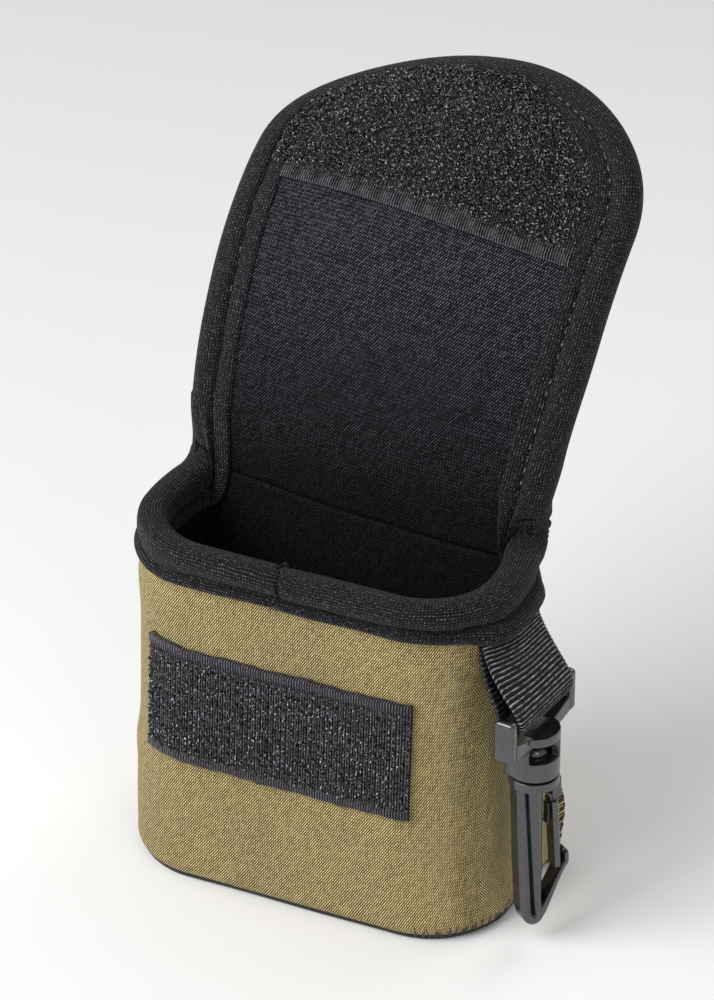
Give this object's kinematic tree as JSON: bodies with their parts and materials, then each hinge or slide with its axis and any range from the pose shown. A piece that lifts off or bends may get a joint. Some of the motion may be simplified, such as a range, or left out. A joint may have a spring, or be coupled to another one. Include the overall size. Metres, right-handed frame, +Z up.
{
  "type": "action camera pouch",
  "caption": "Small padded cloth pouch, open on top, with a long fold-over flap, hook-and-loop closure and a swivel snap hook on a webbing loop.",
  "frame": {"origin": "centre of the pocket's flat base, on the surface it stands on", "axes": "+X towards the side with the snap hook, -Y towards the front with the hook tape, +Z up out of the pocket's mouth"},
  "size_m": [0.0941, 0.0882, 0.1544],
  "materials": {
    "khaki_cloth": "fine warp knit over thin foam, matt, slightly napped",
    "black_knit": "matt black knit lining and ribbed elastic binding",
    "black_tape": "matt hook tape and fuzzy loop tape",
    "black_webbing": "ribbed woven webbing with a slight sheen",
    "hook_plastic": "moulded dark-grey plastic, smooth with a soft gloss",
    "spring_steel": "plain steel pin and leaf spring"
  },
  "bodies": {
    "pocket": {"wrap_panel": "khaki_cloth", "wrap_lining": "black_knit", "back_panel": "khaki_cloth", "back_lining": "black_knit", "base_panel": "khaki_cloth", "base_lining": "black_knit", "hook_tape": "black_tape", "rim_binding_left": "black_knit", "rim_binding_right": "black_knit", "corner_binding_left": "black_knit", "corner_binding_right": "black_knit", "flap_root_panel": "khaki_cloth", "flap_root_lining": "black_knit"},
    "flap_lower": {"flap_lower_panel": "khaki_cloth", "flap_lower_lining": "black_knit", "flap_lower_binding_left": "black_knit", "flap_lower_binding_right": "black_knit", "flap_fold_panel": "khaki_cloth", "flap_fold_lining": "black_knit", "flap_fold_binding_left": "black_knit", "flap_fold_binding_right": "black_knit"},
    "flap_upper": {"flap_upper_panel": "khaki_cloth", "flap_upper_lining": "black_knit", "flap_upper_binding_left": "black_knit", "flap_upper_binding_right": "black_knit", "loop_patch_lower": "black_tape"},
    "flap_tip": {"flap_tip_panel": "khaki_cloth", "flap_tip_lining": "black_knit", "flap_tip_binding": "black_knit", "loop_patch_upper": "black_tape"},
    "strap": {"strap_loop": "black_webbing"},
    "yoke": {"hook_yoke": "hook_plastic"},
    "hook": {"swivel_pin": "hook_plastic", "hook_body": "hook_plastic", "gate_pin": "spring_steel"},
    "gate": {"gate": "hook_plastic", "gate_spring": "spring_steel"}
  },
  "joints": [
    {"name": "flap_root", "type": "hinge", "parent": "pocket", "child": "flap_lower", "pos_m": [0, 0.0125, 0.0775], "axis": [1, 0, 0], "range_deg": [-55, 88], "stiffness_Nm_per_rad": 0.03, "springref_deg": 2.8, "deforming": ["flap_root_panel", "flap_root_lining", "corner_binding_left", "corner_binding_right"]},
    {"name": "flap_fold", "type": "hinge", "parent": "flap_lower", "child": "flap_upper", "pos_m": [0.0037, 0.0185, 0.1194], "axis": [0.9963, -0.0749, 0.0427], "range_deg": [-20, 126], "stiffness_Nm_per_rad": 0.02, "springref_deg": 2.87, "deforming": ["flap_fold_panel", "flap_fold_lining", "flap_fold_binding_left", "flap_fold_binding_right"]},
    {"name": "flap_tip_bend", "type": "hinge", "parent": "flap_upper", "child": "flap_tip", "pos_m": [0.0053, 0.0322, 0.1409], "axis": [0.9771, -0.208, 0.045], "range_deg": [0, 28], "stiffness_Nm_per_rad": 0.01, "springref_deg": 2.12},
    {"name": "strap_swing", "type": "hinge", "parent": "pocket", "child": "strap", "pos_m": [0.0415, -0.0097, 0.0679], "axis": [-0.0872, -0.9962, 0], "range_deg": [0, 75]},
    {"name": "yoke_tilt", "type": "hinge", "parent": "strap", "child": "yoke", "pos_m": [0.0473, -0.0102, 0.055], "axis": [-0.0872, -0.9962, 0], "range_deg": [0, 120]},
    {"name": "hook_swivel", "type": "hinge", "parent": "yoke", "child": "hook", "pos_m": [0.0473, -0.0102, 0.038], "axis": [0, 0, 1], "continuous": true},
    {"name": "gate", "type": "hinge", "parent": "hook", "child": "gate", "pos_m": [0.04965, -0.00684, 0.0341], "axis": [-0.8192, 0.5736, 0], "range_deg": [0, 10], "stiffness_Nm_per_rad": 0.02, "springref_deg": -2.86}
  ]
}
